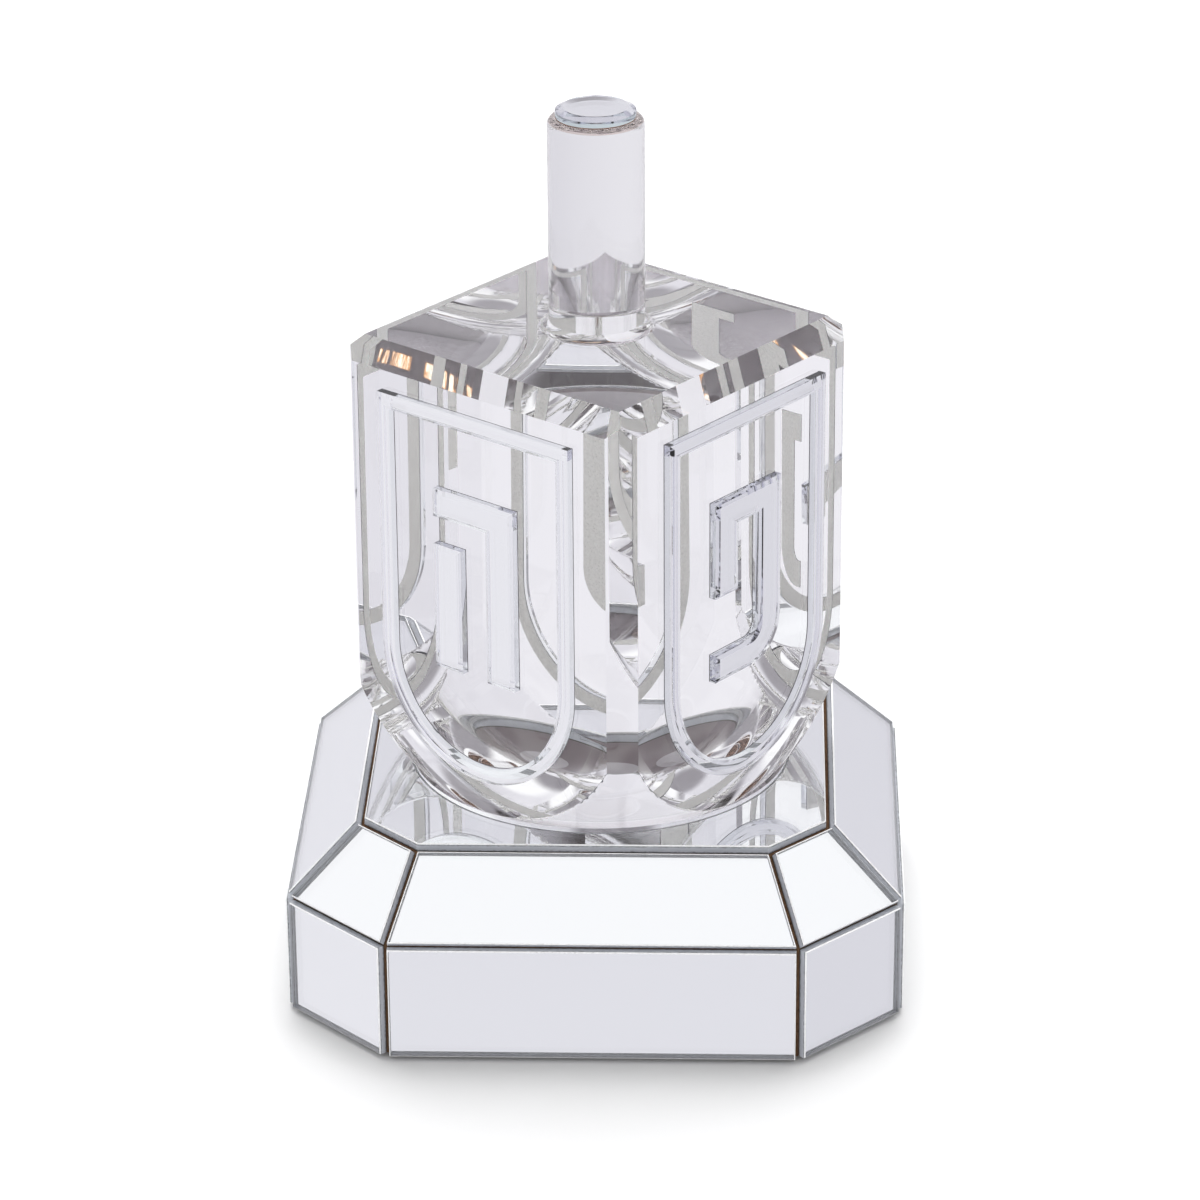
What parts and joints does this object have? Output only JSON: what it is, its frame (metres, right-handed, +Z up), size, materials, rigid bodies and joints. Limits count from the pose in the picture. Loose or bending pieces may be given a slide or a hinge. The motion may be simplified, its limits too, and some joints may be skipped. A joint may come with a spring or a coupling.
{
  "type": "dreidel",
  "caption": "Clear crystal dreidel with raised mirrored letters and a round stem, resting by its ball bottom in a bevelled eight-sided mirrored stand.",
  "frame": {"origin": "middle of the stand's underside, on the table, which is the bottom centre of the whole object's box", "axes": "+Z up along the stem, the stand's long front side towards -Y, one corner of the dreidel turned 7 degrees past the front"},
  "size_m": [0.084, 0.084, 0.1209],
  "materials": {
    "crystal": "polished clear crystal glass, ground flat faces and bevels",
    "clear_bond": "clear cured adhesive",
    "mark_mirror": "thin mirror glass with bevelled edges, speckled grey backing paint",
    "mirror_glass": "mirror glass, square cut and ground edges",
    "core_board": "brown fibreboard, bare in the grooves, sealed in the seat",
    "felt": "pale grey felt"
  },
  "bodies": {
    "stand": {"stand_core": "core_board", "top_mirror": "mirror_glass", "side_mirror_1": "mirror_glass", "side_mirror_2": "mirror_glass", "side_mirror_3": "mirror_glass", "side_mirror_4": "mirror_glass", "side_mirror_5": "mirror_glass", "side_mirror_6": "mirror_glass", "side_mirror_7": "mirror_glass", "side_mirror_8": "mirror_glass", "bevel_mirror_1": "mirror_glass", "bevel_mirror_2": "mirror_glass", "bevel_mirror_3": "mirror_glass", "bevel_mirror_4": "mirror_glass", "bevel_mirror_5": "mirror_glass", "bevel_mirror_6": "mirror_glass", "bevel_mirror_7": "mirror_glass", "bevel_mirror_8": "mirror_glass", "base_felt": "felt"},
    "seat": {"seat_felt": "felt"},
    "dreidel": {"crystal_block": "crystal", "stem_rod": "crystal", "stem_bond_ring": "clear_bond", "stem_cap_disc": "mark_mirror", "border_he": "mark_mirror", "border_pe": "mark_mirror", "border_nun": "mark_mirror", "border_gimel": "mark_mirror", "letter_he": "mark_mirror", "letter_pe": "mark_mirror", "letter_nun": "mark_mirror", "letter_gimel": "mark_mirror"}
  },
  "joints": [
    {"name": "dreidel_spin", "type": "hinge", "parent": "stand", "child": "seat", "pos_m": [0, 0, 0.016], "axis": [0, 0, 1], "continuous": true},
    {"name": "dreidel_lift", "type": "slide", "parent": "seat", "child": "dreidel", "axis": [0, 0, 1], "range_m": [0, 0.06]}
  ]
}
